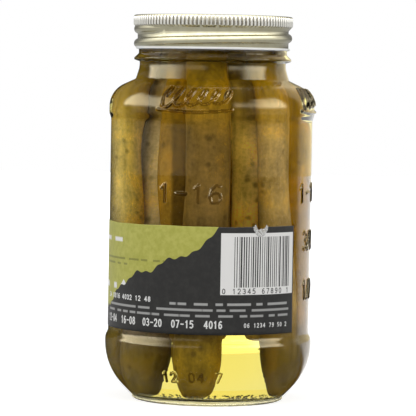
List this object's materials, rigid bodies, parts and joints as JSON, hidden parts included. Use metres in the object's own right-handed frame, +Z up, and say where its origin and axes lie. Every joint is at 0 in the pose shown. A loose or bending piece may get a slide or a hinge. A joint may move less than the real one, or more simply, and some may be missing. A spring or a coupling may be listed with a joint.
{
  "type": "jar of moonshine",
  "caption": "Clear glass jar of yellow moonshine with whole pickles in it, a gold knurled screw cap and a wrap-round label.",
  "frame": {"origin": "middle of the ring that the jar stands on, at the height of the surface under it", "axes": "+Z up along the jar's axis, -Y towards the front that faces the viewer, +X to the viewer's right"},
  "size_m": [0.0918, 0.0918, 0.17],
  "materials": {
    "glass": "clear moulded glass",
    "drink": "clear yellow drink",
    "cap_metal": "satin pale gold lacquer on tinplate",
    "label_print": "satin print",
    "pickle_skin": null,
    "sediment": "small dark bits of herb and seed"
  },
  "bodies": {
    "root": {"glass_jar": "glass", "drink": "drink", "cap": "cap_metal", "label": "label_print"}
  },
  "joints": []
}
